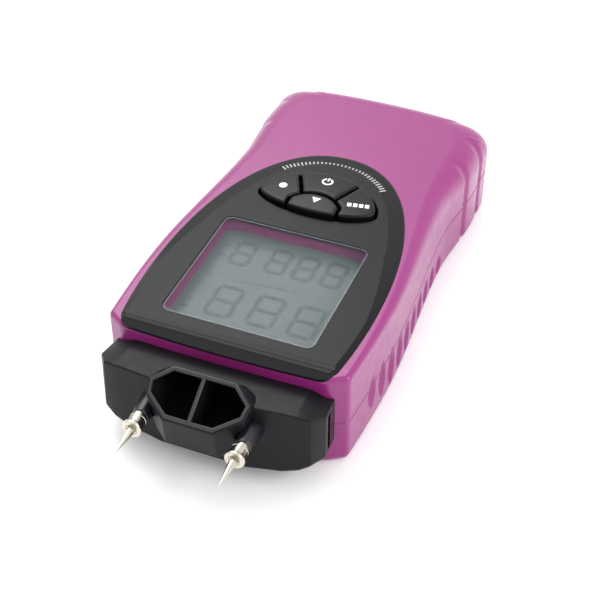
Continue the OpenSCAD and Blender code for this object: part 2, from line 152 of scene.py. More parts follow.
# ---- Materials -------------------------------------------
def srgb(*levels):
    """Linear colour from sRGB levels of 0 to 255."""
    out = []
    for level in levels:
        c = level / 255
        out.append(c / 12.92 if c <= 0.04045 else ((c + 0.055) / 1.055) ** 2.4)
    return (*out, 1.0)


def node(tree, kind, **inputs):
    """A shader node with values on some of its sockets."""
    made = tree.nodes.new(kind)
    for key, value in inputs.items():
        made.inputs[key.replace("_", " ")].default_value = value
    return made


def noise(tree, coords, feature_mm, detail=2.0, stretch=(1.0, 1.0, 1.0)):
    """Noise whose spots are about feature_mm wide."""
    mapping = tree.nodes.new("ShaderNodeMapping")
    mapping.inputs["Scale"].default_value = stretch
    tree.links.new(coords, mapping.inputs["Vector"])
    made = node(tree, "ShaderNodeTexNoise", Scale=1.0 / (feature_mm * MM), Detail=detail)
    tree.links.new(mapping.outputs["Vector"], made.inputs["Vector"])
    return made.outputs["Fac"]


def spread(tree, value, low, high):
    """Maps the middle of a noise to the range low to high."""
    made = node(tree, "ShaderNodeMapRange")
    made.inputs["From Min"].default_value = 0.3
    made.inputs["From Max"].default_value = 0.7
    made.inputs["To Min"].default_value = low
    made.inputs["To Max"].default_value = high
    tree.links.new(value, made.inputs["Value"])
    return made.outputs["Result"]


def material(name, colour, roughness, grain_mm=0.25, grain=0.12, tone=0.06, metallic=0.0,
             wear=0.06, stretch=(1.0, 1.0, 1.0), specular=0.5, coat=0.0, alpha=1.0):
    """A moulded, turned or painted finish.

    Its tone and gloss change slowly over the surface, by tone and wear, and grain is the strength of
    bumps about grain_mm wide. stretch draws all of them out along an axis.
    """
    made = bpy.data.materials.new(name)
    made.use_nodes = True
    tree = made.node_tree
    shader = tree.nodes["Principled BSDF"]
    coords = tree.nodes.new("ShaderNodeTexCoord").outputs["Object"]
    shader.inputs["Metallic"].default_value = metallic
    shader.inputs["Specular IOR Level"].default_value = specular
    shader.inputs["Coat Weight"].default_value = coat
    shader.inputs["Coat Roughness"].default_value = 0.15
    shader.inputs["Alpha"].default_value = alpha
    base = colour[:3]
    ramp = tree.nodes.new("ShaderNodeMix")
    ramp.data_type = "RGBA"
    ramp.inputs["A"].default_value = (*[c * (1 - tone) for c in base], 1.0)
    ramp.inputs["B"].default_value = (*[min(1.0, c * (1 + tone)) for c in base], 1.0)
    tree.links.new(spread(tree, noise(tree, coords, 9.0, 3.0, stretch), 0.0, 1.0), ramp.inputs["Factor"])
    tree.links.new(ramp.outputs["Result"], shader.inputs["Base Color"])
    scuffs = spread(tree, noise(tree, coords, 3.5, 4.0, stretch), roughness - wear, roughness + wear)
    tree.links.new(scuffs, shader.inputs["Roughness"])
    bump = node(tree, "ShaderNodeBump", Strength=grain, Distance=0.00005)
    tree.links.new(noise(tree, coords, grain_mm, 2.0, stretch), bump.inputs["Height"])
    tree.links.new(bump.outputs["Normal"], shader.inputs["Normal"])
    return made


FINISHES = {
    "shell_plastic": material("shell_magenta", srgb(128, 31, 102), 0.34, 0.22, 0.1, 0.03,
                              wear=0.04, specular=0.4, coat=0.22),
    "panel_plastic": material("panel_graphite", srgb(19, 19, 21), 0.3, 0.18, 0.08, 0.05,
                              wear=0.02, specular=0.14),
    "window_clear": material("window_clear", srgb(120, 128, 130), 0.08, 1.5, 0.02, 0.02,
                             wear=0.02, specular=0.3, alpha=0.07),
    "key_rubber": material("key_rubber", srgb(12, 12, 14), 0.3, 0.15, 0.08, 0.05,
                           wear=0.03, specular=0.2),
    "silicone": material("silicone", srgb(180, 182, 184), 0.5, 0.3, 0.1),
    "lcd": material("lcd_face", srgb(84, 95, 96), 0.3, 0.9, 0.03, 0.03, wear=0.03, specular=0.2),
    "dark_plastic": material("dark_plastic", srgb(40, 41, 43), 0.5),
    "backlight": material("backlight", srgb(232, 236, 234), 0.4),
    "elastomer": material("elastomer", srgb(60, 90, 120), 0.6),
    "circuit_board": material("circuit_board", srgb(30, 107, 60), 0.35, 0.5, 0.2, 0.12),
    "chip": material("chip_epoxy", srgb(38, 40, 43), 0.5, 0.1, 0.2),
    "sensor_cap": material("sensor_cap", srgb(58, 59, 61), 0.5),
    "head_plastic": material("head_plastic", srgb(19, 18, 21), 0.36, 0.2, 0.16, 0.05,
                             wear=0.04, specular=0.15),
    "post_plastic": material("post_plastic", srgb(20, 18, 26), 0.3, 0.2, 0.1, 0.08),
    "nickel": material("nickel", srgb(196, 191, 178), 0.2, 0.12, 0.1, 0.06, metallic=1.0,
                       stretch=(1.0, 0.15, 1.0)),
    "needle_steel": material("needle_steel", srgb(190, 184, 172), 0.22, 0.1, 0.14, 0.08, metallic=1.0,
                             stretch=(1.0, 0.08, 1.0)),
    "brass": material("brass", srgb(201, 162, 78), 0.3, metallic=1.0),
    "battery_can": material("battery_can", srgb(90, 100, 112), 0.35, 0.4, 0.08, 0.08, metallic=0.4),
    "lead_insulation": material("lead_insulation", srgb(168, 50, 50), 0.45),
    "screw_steel": material("screw_steel", srgb(160, 160, 162), 0.3, 0.12, 0.14, 0.08, metallic=1.0),
}
# A lighter, less clear glass for the ring along the window's edge: a painted highlight line.
WINDOW_EDGE_HIGHLIGHT = material("window_edge_painted_highlight", srgb(128, 134, 136), 0.2, 0.8, 0.04, 0.06, wear=0.04, alpha=0.26)
# A lighter, glossier black than the head's plastic, for the mouth's lip: a painted highlight.
HEAD_LIP_HIGHLIGHT = material("head_lip_painted_highlight", srgb(43, 42, 45), 0.3, 0.2, 0.14, 0.05, wear=0.06, specular=0.4)
MARK_WHITE = material("mark_white", srgb(226, 230, 232), 0.45, 0.3, 0.05)
MARK_SILVER = material("mark_silver", srgb(150, 152, 150), 0.4, 0.3, 0.05)
LCD_SEGMENT = material("lcd_segment", srgb(62, 74, 74), 0.3, 0.9, 0.02, 0.03, wear=0.03, specular=0.2)


def finish_cad_nodes():
    """Every CAD node gets the procedural finish of its record slot."""
    slots = {row["node"]: row["material_slot"] for row in frame["record"]["subparts"]}
    for name, obj in frame["nodes"].items():
        if not obj.material_slots:
            obj.data.materials.append(None)
        for place in obj.material_slots:
            place.material = FINISHES[slots[name]]


finish_cad_nodes()


# ---- Mesh tools ------------------------------------------
def mesh_object(name, points, faces):
    """A mesh from drawing points in millimetres."""
    mesh = bpy.data.meshes.new(name)
    mesh.from_pydata([to_frame(*p) for p in points], [], faces)
    mesh.validate()
    build = bmesh.new()
    build.from_mesh(mesh)
    bmesh.ops.recalc_face_normals(build, faces=build.faces)
    build.to_mesh(mesh)
    build.free()
    obj = bpy.data.objects.new(name, mesh)
    bpy.context.scene.collection.objects.link(obj)
    return obj


def loft(name, rings, close_low=True, close_high=True):
    """A closed solid through rings of equal length. A ring may be a single point, as a pole."""
    points = []
    starts = []
    for ring in rings:
        starts.append(len(points))
        points.extend(ring)
    faces = []
    for low, high, a, b in zip(rings, rings[1:], starts, starts[1:]):
        count = max(len(low), len(high))
        for k in range(count):
            q = (k + 1) % count
            if len(low) == 1:
                faces.append((a, b + q, b + k))
            elif len(high) == 1:
                faces.append((a + k, a + q, b))
            else:
                faces.append((a + k, a + q, b + q, b + k))
    if close_low and len(rings[0]) > 1:
        faces.append(tuple(range(len(rings[0])))[::-1])
    if close_high and len(rings[-1]) > 1:
        faces.append(tuple(range(starts[-1], starts[-1] + len(rings[-1]))))
    return mesh_object(name, points, faces)


def prism(outline, low_z, high_z, name="prism"):
    """An upright solid over a plan."""
    return loft(name, [[(x, y, z) for x, y in outline] for z in (low_z, high_z)])


def slab(low, high, name="slab"):
    """A box between two corners."""
    outline = [(low[0], low[1]), (high[0], low[1]), (high[0], high[1]), (low[0], high[1])]
    return prism(outline, low[2], high[2], name)


def lathe(name, profile, x, z, sides=64):
    """A solid turned about the Y line at x, z. The profile is a list of (y, radius)."""
    rings = []
    for y, radius in profile:
        if radius <= 0:
            rings.append([(x, y, z)])
            continue
        turn = [2 * math.pi * k / sides for k in range(sides)]
        rings.append([(x + radius * math.cos(a), y, z + radius * math.sin(a)) for a in turn])
    return loft(name, rings)


def rod(x, z, radius, low_y, high_y, sides=48):
    """A cylinder along Y."""
    return lathe("rod", [(low_y, radius), (high_y, radius)], x, z, sides)


def upright(x, y, radius, low_z, high_z, sides=40):
    """A cylinder along Z."""
    turn = [2 * math.pi * k / sides for k in range(sides)]
    return prism([(x + radius * math.cos(a), y + radius * math.sin(a)) for a in turn], low_z, high_z)


def hull(points, name="hull"):
    """The convex solid through drawing points."""
    build = bmesh.new()
    for p in points:
        build.verts.new(to_frame(*p))
    found = bmesh.ops.convex_hull(build, input=build.verts)
    inner = [g for g in found["geom_interior"] if isinstance(g, bmesh.types.BMVert)]
    bmesh.ops.delete(build, geom=inner, context="VERTS")
    bmesh.ops.recalc_face_normals(build, faces=build.faces)
    mesh = bpy.data.meshes.new(name)
    build.to_mesh(mesh)
    build.free()
    obj = bpy.data.objects.new(name, mesh)
    bpy.context.scene.collection.objects.link(obj)
    return obj


def mirrored(points):
    """The points and their mirror images on the other side of the middle."""
    return points + [(-x, y, z) for x, y, z in points]


def settle(obj):
    """Puts the modifiers of an object into its mesh."""
    graph = bpy.context.evaluated_depsgraph_get()
    made = bpy.data.meshes.new_from_object(obj.evaluated_get(graph))
    obj.modifiers.clear()
    obj.data = made
    return obj


def combine(obj, others, how):
    """Adds, cuts or intersects other solids, one after the other, which uses them up."""
    for other in others:
        step = obj.modifiers.new("combine", "BOOLEAN")
        step.operation = how
        step.solver = "MANIFOLD"
        step.object = other
        bpy.context.view_layer.update()
        settle(obj)
        bpy.data.objects.remove(other)
    return obj


def cut(obj, *others):
    """Takes other solids away from one."""
    return combine(obj, others, "DIFFERENCE")


def fuse(obj, *others):
    """Joins other solids to one."""
    return combine(obj, others, "UNION")


def weld(obj):
    """Joins points that lie on each other, and turns the faces outward."""
    build = bmesh.new()
    build.from_mesh(obj.data)
    bmesh.ops.remove_doubles(build, verts=build.verts, dist=SAME_POINT)
    bmesh.ops.recalc_face_normals(build, faces=build.faces)
    build.to_mesh(obj.data)
    build.free()
    return obj


def tidy_faces(obj, degrees=0.5):
    """Joins neighbouring faces that lie in one plane."""
    build = bmesh.new()
    build.from_mesh(obj.data)
    bmesh.ops.remove_doubles(build, verts=build.verts, dist=SAME_POINT)
    bmesh.ops.dissolve_limit(build, angle_limit=math.radians(degrees), verts=build.verts, edges=build.edges)
    build.to_mesh(obj.data)
    build.free()
    return obj


def soften(obj, width_mm, degrees=25, segments=3):
    """Rounds the sharp edges of a solid."""
    step = obj.modifiers.new("soften", "BEVEL")
    step.width = width_mm * MM
    step.segments = segments
    step.limit_method = "ANGLE"
    step.angle_limit = math.radians(degrees)
    step.use_clamp_overlap = True
    bpy.context.view_layer.update()
    return settle(obj)


def smooth(obj, degrees=32):
    """Smooth shading that keeps the sharp edges."""
    obj.data.shade_smooth()
    obj.data.set_sharp_from_angle(angle=math.radians(degrees))
    step = obj.modifiers.new("flat_faces_first", "WEIGHTED_NORMAL")
    step.keep_sharp = True
    return obj


def piece(obj, name, body, finish, slot, *nodes, degrees=32):
    """Names a finished solid, gives it its finish, ties it to its body, and hides the CAD nodes that it
    stands for.
    """
    obj.name = name
    obj.data.name = name
    obj.data.materials.clear()
    obj.data.materials.append(finish)
    smooth(obj, degrees)
    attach(obj, body)
    if nodes:
        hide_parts(*nodes)
    return obj


# ---- Outlines --------------------------------------------
def clamp(t):
    """t, kept between 0 and 1."""
    return max(0.0, min(1.0, t))


def ease(t):
    """A smooth step from 0 to 1."""
    return t * t * (3 - 2 * t)


def half_width(y):
    """The casing's half width: a swell at the grip, a waist, and a flare to the tail."""
    if y < GRIP_Y:
        return (FRONT_W + (GRIP_W - FRONT_W) * math.sin(math.pi / 2 * y / GRIP_Y)) / 2
    if y < WAIST_Y:
        return (GRIP_W + (WAIST_W - GRIP_W) * ease((y - GRIP_Y) / (WAIST_Y - GRIP_Y))) / 2
    if y < FLARE_Y:
        return (WAIST_W + (TAIL_W - WAIST_W) * ease((y - WAIST_Y) / (FLARE_Y - WAIST_Y))) / 2
    return TAIL_W / 2


def edge_radius(y):
    """Radius of the casing's top edge, growing towards the tail."""
    return EDGE_FRONT + (EDGE_TAIL - EDGE_FRONT) * clamp(y / EDGE_GROWN_Y) ** 1.6


def tail_at(x):
    """Y of the bowed tail."""
    return BODY_LEN - TAIL_SAG * (abs(x) / (TAIL_W / 2 - CORNER_R)) ** 2.4


def nose_at(x):
    """Y of the bowed front face."""
    return NOSE_Y + NOSE_SAG * (abs(x) / NOSE_X) ** 2


def arc_corner(before, corner, after, size, count):
    """Rounds one corner of an outline: points on a quadratic curve that starts size before it."""
    start = corner + (before - corner).normalized() * size
    end = corner + (after - corner).normalized() * size
    points = []
    for k in range(count + 1):
        t = k / count
        points.append(start * (1 - t) ** 2 + corner * (2 * t * (1 - t)) + end * t * t)
    return points


def casing_ring(depth_at, height_at, stations, carve=None):
    """One level of the casing. depth_at(y) is its depth in from the wall line, height_at(y) its z."""
    front_depth = depth_at(0)
    tail_depth = depth_at(BODY_LEN)
    front_z = height_at(0)
    tail_z = height_at(BODY_LEN)
    centre_x = TAIL_W / 2 - tail_depth - CORNER_R
    centre_y = tail_at(TAIL_W / 2 - CORNER_R) - tail_depth - CORNER_R
    start_y = front_depth * 0.7
    front = Vector((NOSE_X, nose_at(NOSE_X) + front_depth))
    side = Vector((half_width(start_y) - depth_at(start_y), start_y))
    half = []
    for k in range(13):
        x = (NOSE_X - 1.5) * k / 12
        half.append((x, nose_at(x) + front_depth, front_z))
    inner = Vector((NOSE_X - 2, nose_at(NOSE_X - 2) + front_depth))
    for p in arc_corner(inner, front, side, FRONT_CORNER, 5):
        half.append((p.x, p.y, front_z))
    beyond = Vector((half_width(start_y + 2) - depth_at(start_y + 2), start_y + 2))
    for p in arc_corner(front, side, beyond, SIDE_CORNER, 6):
        half.append((p.x, p.y, height_at(start_y)))
    first_y = start_y + 1.3
    for k in range(stations):
        y = first_y + (centre_y - first_y) * k / (stations - 1)
        z = height_at(y)
        dent = carve(y, z) if carve else 0.0
        half.append((half_width(y) - depth_at(y) - dent, y, z))
    for k in range(1, 16):
        a = math.pi / 2 * k / 15
        half.append((centre_x + CORNER_R * math.cos(a), centre_y + CORNER_R * math.sin(a), tail_z))
    for k in range(1, 20):
        x = centre_x * (1 - k / 20)
        half.append((x, tail_at(x) - tail_depth, tail_z))
    half.append((0, BODY_LEN - tail_depth, tail_z))
    return half + [(-x, y, z) for x, y, z in half[-2:0:-1]]


# Finger flutes: middle y, lowest z and highest z of each
FLUTE_COUNT = 10
FLUTES = [(15.4 + 7.5 * k, max(1.3, 6 - 2.4 * k), 19 - 1.1 * k) for k in range(FLUTE_COUNT)]
FLUTE_HALF_W = 2.7
FLUTE_DEPTH = 1.4
# The two soft grooves round the tail
GROOVES_Y = (103.5, 117.0)
GROOVE_HALF_W = 2.2
GROOVE_DEPTH = 0.8
# The fine line between the casing's halves
SEAM_DEPTH = 0.3
SEAM_BEND = (0.12, 0.16)  # height from the joint and depth, half way in


def flute_depth(y, z):
    """Depth of the lens-shaped finger scoops in the side wall."""
    for middle, low, high in FLUTES:
        v = (2 * z - low - high) / (high - low)
        if abs(y - middle) < FLUTE_HALF_W and abs(v) < 1:
            width = 1 - v * v
            u = (y - middle) / (FLUTE_HALF_W * width + 0.001)
            if abs(u) < 1:
                return FLUTE_DEPTH * width * (1 - u * u)
    return 0.0


def groove_depth(y, fade):
    """Depth of the two soft grooves round the tail, full on the wall and gone on the flat top."""
    depth = 0.0
    for middle in GROOVES_Y:
        u = abs(y - middle) / GROOVE_HALF_W
        if u < 1:
            depth = max(depth, GROOVE_DEPTH * (1 - u * u) ** 2)
    return depth * fade


def wall_carving(y, z):
    """Depth of everything that is carved into the side wall."""
    return flute_depth(y, z) + groove_depth(y, 1.0)


def quarter(degrees):
    """How far in and how far down a rounded edge has come, as shares of its radius."""
    a = math.radians(degrees)
    return 1 - math.cos(a), 1 - math.sin(a)


def upper_casing(stations, in_depth, flat_z, fine):
    """The casing above the joint. in_depth is 0 for the outside and the wall's thickness inside."""
    rings = []
    carve = wall_carving if fine else None
    seam = [(0.0, SEAM_DEPTH), SEAM_BEND, (SEAM_DEPTH, 0.0)] if fine else [(0.0, 0.0)]
    for rise, bite in seam:
        rings.append(casing_ring(lambda y: in_depth + bite, lambda y: PART_Z + rise, stations, carve))
    seam_rise = seam[-1][0]
    wall_steps = 26 if fine else 2
    for k in range(1, wall_steps + 1):
        share = k / wall_steps
        rings.append(casing_ring(
            lambda y: in_depth,
            lambda y: PART_Z + seam_rise + (flat_z - edge_radius(y) - PART_Z - seam_rise) * share,
            stations, carve))
    for angle in (range(8, 91, 8) if fine else (30, 60, 90)):
        top_angle = 90 if angle > 84 else angle
        in_part, down_part = quarter(top_angle)
        fade = math.cos(math.radians(top_angle)) ** 0.7 if top_angle < 90 else 0.0
        rings.append(casing_ring(
            lambda y: in_depth + edge_radius(y) * in_part,
            lambda y: flat_z - edge_radius(y) * down_part, stations,
            (lambda y, z: groove_depth(y, fade)) if fine else None))
    return rings


def lower_casing(stations, in_depth, flat_z, fine):
    """The casing below the joint."""
    rings = []
    for angle in ((90, 72, 54, 36, 18, 0) if fine else (90, 45, 0)):
        in_part, down_part = quarter(angle)
        carve = wall_carving if fine and angle < 80 else None
        rings.append(casing_ring(
            lambda y: in_depth + FOOT_R * in_part,
            lambda y: flat_z + FOOT_R * down_part, stations, carve))
    wall_steps = 24 if fine else 1
    seam_drop = SEAM_DEPTH if fine else 0.0
    carve = wall_carving if fine else None
    for k in range(1, wall_steps + 1):
        z_at = flat_z + FOOT_R + (PART_Z - seam_drop - flat_z - FOOT_R) * k / wall_steps
        rings.append(casing_ring(lambda y: in_depth, lambda y: z_at, stations, carve))
    if fine:
        for drop, bite in (SEAM_BEND, (0.02, SEAM_DEPTH)):
            rings.append(casing_ring(lambda y: in_depth + bite, lambda y: PART_Z - drop, stations, carve))
    return rings


def offset_outline(points, distance):
    """Moves a closed outline inwards along its normals. distance is a number or a function of y."""
    count = len(points)
    moved = []
    for k in range(count):
        here = Vector(points[k])
        ahead = (Vector(points[(k + 1) % count]) - here).normalized()
        behind = (here - Vector(points[k - 1])).normalized()
        along = (ahead + behind).normalized()
        inward = Vector((-along.y, along.x))
        reach = max(0.5, along.dot(ahead))
        size = distance(here.y) if callable(distance) else distance
        moved.append(tuple(here + inward * size / reach))
    return moved


def panel_half(y):
    """The panel's half width in front of its widest place."""
    return PANEL_W / 2 - 2.5 * ((PANEL_WIDE_Y - y) / 28) ** 2


def panel_outline(grow=0.0):
    """Plan of the panel, anticlockwise from the middle of its front edge."""
    width = PANEL_W / 2 + grow
    length = PANEL_END - PANEL_WIDE_Y + grow
    front_y = NOSE_Y - 0.1 - grow
    side = [(27.3 * k / 8, front_y + 0.6 * (k / 8) ** 2) for k in range(9)]
    corner = Vector((29.8, front_y + 1.3))
    start = Vector((panel_half(0.5) + grow, 0.5))
    side += [tuple(p) for p in arc_corner(Vector(side[-1]), corner, start, 1.0, 4)]
    side += [(panel_half(y) + grow, y) for y in [0.5 + 0.875 * k for k in range(28)]]
    for k in range(1, 70):
        a = math.pi / 2 * k / 70
        side.append((width * math.cos(a) ** 0.92, PANEL_WIDE_Y + length * math.sin(a) ** 0.92))
    half = side + [(0, PANEL_WIDE_Y + length)]
    return half + [(-x, y) for x, y in half[-2:0:-1]]


def window_outline(grow=0.0):
    radius = WINDOW_R + grow
    x = WINDOW_W / 2 + grow - radius
    y = WINDOW_LENGTH / 2 + grow - radius
    middle = WINDOW_FRONT_Y + WINDOW_LENGTH / 2
    points = []
    for quarter_turn, (sx, sy) in enumerate(((1, 1), (-1, 1), (-1, -1), (1, -1))):
        for k in range(9):
            a = math.pi / 2 * (quarter_turn + k / 8)
            points.append((sx * x + radius * math.cos(a), middle + sy * y + radius * math.sin(a)))
    return points


def bow(t):
    return math.copysign(abs(t) ** CLUSTER_BOW, t)


def cluster_outline(grow=0.0):
    """Plan of the egg-shaped opening for the four keys."""
    points = []
    for k in range(120):
        a = 2 * math.pi * k / 120
        ry = (CLUSTER_BACK if a < math.pi else CLUSTER_FRONT) + grow
        points.append(((CLUSTER_RX + grow) * bow(math.cos(a)), CLUSTER_Y + ry * bow(math.sin(a))))
    return points


# ---- Casing ----------------------------------------------
CASE_BOSSES = ((30.7, 14.0), (28.4, 92.0))
HEAD_OPENING = ((-26.9, -8.0, 4.7), (26.9, 1.0, 25.3))
TENON = ((-26.7, -5.0, 4.9), (26.7, 1.4, 25.1))
COARSE = 60  # points along each side of a hidden and a visible skin
FINE = 310
DOOR_X = -DOOR_LOW.x - 1  # half width of the battery door without its tongues
DOOR_Y = DOOR_LOW.y - FRONT_EDGE
DOOR_FIT = 0.15


def make_front_shell():
    """The upper half, with openings for the panel, window, keys and head."""
    cavity = loft("cavity", upper_casing(COARSE, WALL, CEILING_Z, False))
    fuse(cavity, loft("rim", [
        casing_ring(lambda y: WALL, lambda y: z, COARSE) for z in (PART_Z - 1, PART_Z + 0.1)]))
    cut(cavity, prism(window_outline(2), LCD_TOP + 0.1, TOP_Z))
    shell = loft("front_shell_skin", upper_casing(FINE, 0.0, TOP_Z, True))
    cut(shell, cavity, prism(panel_outline(0.1), POCKET_Z, TOP_Z + 1),
        prism(window_outline(0.4), PART_Z - 1, TOP_Z), prism(cluster_outline(0.85), PART_Z, TOP_Z),
        slab(*HEAD_OPENING))
    return piece(shell, "front_casing", "housing", FINISHES["shell_plastic"], "shell_plastic",
                 "front_shell", degrees=28)


def make_back_shell():
    """The lower half, with screw bosses, the battery opening and the door's rails."""
    cavity = loft("cavity", lower_casing(COARSE, WALL, WALL, False) + [
        casing_ring(lambda y: WALL, lambda y: PART_Z + 1, COARSE)])
    shell = loft("back_shell_skin", lower_casing(FINE, 0.0, 0.0, True))
    cut(shell, cavity)
    bosses = [upright(s * x, y, 3.2, 0.5, PART_Z - 0.05) for x, y in CASE_BOSSES for s in (-1, 1)]
    fuse(shell, *bosses)
    for x, y in CASE_BOSSES:
        for s in (-1, 1):
            cut(shell, upright(s * x, y, 2.5, -1, 8), upright(s * x, y, 1.3, 7, 20))
    clear_x = DOOR_X + DOOR_FIT
    rail_x = DOOR_X + 1.2
    cut(shell,
        slab((-clear_x, DOOR_Y - DOOR_FIT, -1), (clear_x, BODY_LEN + 5, 2.15)),
        slab((-rail_x, DOOR_Y + 0.4, 0.8), (rail_x, BODY_LEN + 5, 1.95)),
        slab((-clear_x, DOOR_Y + 2, 0), (clear_x, DOOR_Y + 49.8, WALL + 2)),
        slab(*HEAD_OPENING))
    return piece(shell, "back_casing", "housing", FINISHES["shell_plastic"], "shell_plastic",
                 "back_shell", degrees=28)


def make_battery_door():
    """The sliding door: it carries on the shell's outside, with finger grooves and a tongue each side."""
    door = loft("door_skin", lower_casing(160, 0.0, 0.0, False))
    combine(door, [slab((-DOOR_X, DOOR_Y, -1), (DOOR_X, BODY_LEN + 5, 2))], "INTERSECT")
    for k in range(5):
        groove_x = 9 - 0.8 * k
        groove_y = DOOR_Y + 8 + 2.4 * k
        cut(door, slab((-groove_x, groove_y, -1), (groove_x, groove_y + 1.2, 0.5)))
    tidy_faces(door)
    soften(door, 0.22, 40, 2)
    tongues = slab((-DOOR_X - 1, DOOR_Y + 0.8, 0.95), (DOOR_X + 1, BODY_LEN - 8, 1.8))
    fuse(door, tongues)
    return piece(door, "battery_cover", "battery_door", FINISHES["shell_plastic"], "shell_plastic",
                 "battery_door")


make_front_shell()
make_back_shell()
make_battery_door()


# ---- Panel, window and display ---------------------------
def crease_inset(y):
    """How far inside the panel's edge its side slope begins."""
    return 1.3 + 2.8 * clamp((y - 20) / 27) + 1.2 * clamp((y - 46) / 45)


def make_panel():
    """The black panel, with side slopes, a front lip, the window's frame and the keys' well."""
    outline = panel_outline()
    # (share of the way from the edge to the crease, extra inset, drop below the top)
    edge = ((0.0, 0.0, PANEL_Z - POCKET_Z), (0.0, 0.0, 1.05), (0.0, 0.07, 0.82), (0.0, 0.2, 0.64),
            (0.0, 0.42, 0.5), (0.12, 0.5, 0.42), (0.5, 0.3, 0.26), (0.82, 0.1, 0.12), (1.0, 0.0, 0.05),
            (1.0, 0.25, 0.0))
    rings = []
    for share, extra, drop in edge:
        inset = offset_outline(outline, lambda y: crease_inset(y) * share + extra)
        rings.append([(x, y, PANEL_Z - drop) for x, y in inset])
    panel = loft("panel", rings)
    # a shallow trough, a narrow ridge, and the slope down to the front edge
    lip = [(2.2, PANEL_Z + 0.3), (2.0, PANEL_Z), (1.0, PANEL_Z - 0.24), (0.2, PANEL_Z - 0.24),
           (-0.35, PANEL_Z - 0.06), (-0.8, PANEL_Z - 0.04), (-1.2, PANEL_Z - 0.14), (-1.6, PANEL_Z - 0.34),
           (-4.4, PANEL_Z - 1.5), (-6, PANEL_Z - 1.5), (-6, PANEL_Z + 0.3)]
    cut(panel, loft("lip", [[(x, y, z) for y, z in lip] for x in (-40, 40)]))
    chamfer = [[(x, y, z) for x, y in window_outline(grow)]
               for grow, z in ((0.0, POCKET_Z - 1), (0.0, PANEL_Z - 0.3), (0.12, PANEL_Z - 0.12),
                               (0.45, PANEL_Z + 0.1))]
    well = [[(x, y, z) for x, y in cluster_outline(grow)]
            for grow, z in ((0.8, POCKET_Z - 1), (0.8, PANEL_Z - 0.35), (0.92, PANEL_Z - 0.12),
                            (1.2, PANEL_Z + 0.1))]
    cut(panel, prism(window_outline(0.8), POCKET_Z - 1, PANEL_Z - 0.4), loft("chamfer", chamfer),
        loft("well", well))
    return piece(panel, "display_panel", "housing", FINISHES["panel_plastic"], "panel_plastic",
                 "bezel_frame", degrees=40)


def make_window():
    """The clear window, and a thin ring of lighter, less clear glass round its edge: a painted highlight."""
    levels = ((0.76, POCKET_Z), (0.76, PANEL_Z - 0.42), (-0.03, PANEL_Z - 0.42), (-0.03, PANEL_Z - 0.3),
              (-0.12, PANEL_Z - 0.21))
    window = loft("window", [[(x, y, z) for x, y in window_outline(grow)] for grow, z in levels])
    piece(window, "clear_window", "housing", FINISHES["window_clear"], "window_clear", "display_window")
    # The ring along the window's edge is a painted highlight: lighter, less clear glass than the window.
    highlight_ring_levels = ((-0.02, PANEL_Z - 0.3), (-0.06, PANEL_Z - 0.22), (-0.1, PANEL_Z - 0.2))
    edge = loft("edge", [[(x, y, z) for x, y in window_outline(grow)] for grow, z in highlight_ring_levels])
    cut(edge, prism(window_outline(-0.38), PANEL_Z - 1, PANEL_Z))
    piece(edge, "window_edge_painted_highlight", "housing", WINDOW_EDGE_HIGHLIGHT, "window_clear")


make_panel()
make_window()

# Seven-segment digits: middle x, middle y, width and height of each
UPPER_CELLS = [
    (-13.4, 41.3, 5.4, 9.8), (-2.4, 41.6, 5.4, 10.2), (6.0, 41.6, 5.4, 10.2), (14.6, 41.8, 5.4, 10.2)]
LOWER_CELLS = [(-9.8, 20.0, 7.2, 12.2), (2.6, 20.2, 7.2, 12.2), (14.7, 20.2, 7.2, 12.2)]
SEGMENT_W = 1.35
SEGMENT_GAP = 0.1
SEGMENT_RISE = 0.03


def segment(start, end, width):
    """A display segment with pointed ends."""
    a = Vector(start)
    b = Vector(end)
    along = (b - a).normalized()
    across = Vector((-along.y, along.x)) * (width / 2)
    tip = along * (width / 2)
    outline = [a, a + tip - across, b - tip - across, b, b - tip + across, a + tip + across]
    return [tuple(p) for p in outline]


def digit(cell):
    """The seven segments of one digit, with a small gap at the joints."""
    x, y, width, height = cell
    left = x - width / 2
    right = x + width / 2
    low = y - height / 2
    high = y + height / 2
    marks = []
    for level in (low, y, high):
        marks.append(((left + SEGMENT_GAP, level), (right - SEGMENT_GAP, level)))
    for side in (left, right):
        marks.append(((side, low + SEGMENT_GAP), (side, y - SEGMENT_GAP)))
        marks.append(((side, y + SEGMENT_GAP), (side, high - SEGMENT_GAP)))
    return [segment(a, b, SEGMENT_W) for a, b in marks]


def join_prisms(name, outlines, low_at, high_at):
    """Many small prisms in one mesh. The heights are functions of the point."""
    points = []
    faces = []
    for outline in outlines:
        start = len(points)
        count = len(outline)
        points += [(x, y, low_at(x, y)) for x, y in outline]
        points += [(x, y, high_at(x, y)) for x, y in outline]
        faces.append(tuple(range(start, start + count))[::-1])
        faces.append(tuple(range(start + count, start + 2 * count)))
        for k in range(count):
            q = (k + 1) % count
            faces.append((start + k, start + q, start + count + q, start + count + k))
    return mesh_object(name, points, faces)


def ring_segments(x, y, radius, width, count, start=0.0, turn=2 * math.pi):
    """Short straight strokes that follow a circle."""
    strokes = []
    for k in range(count):
        corners = []
        for share, size in ((k, -1), (k + 1, -1), (k + 1, 1), (k, 1)):
            a = start + turn * share / count
            reach = radius + size * width / 2
            corners.append((x + reach * math.cos(a), y + reach * math.sin(a)))
        strokes.append(corners[::-1])
    return strokes


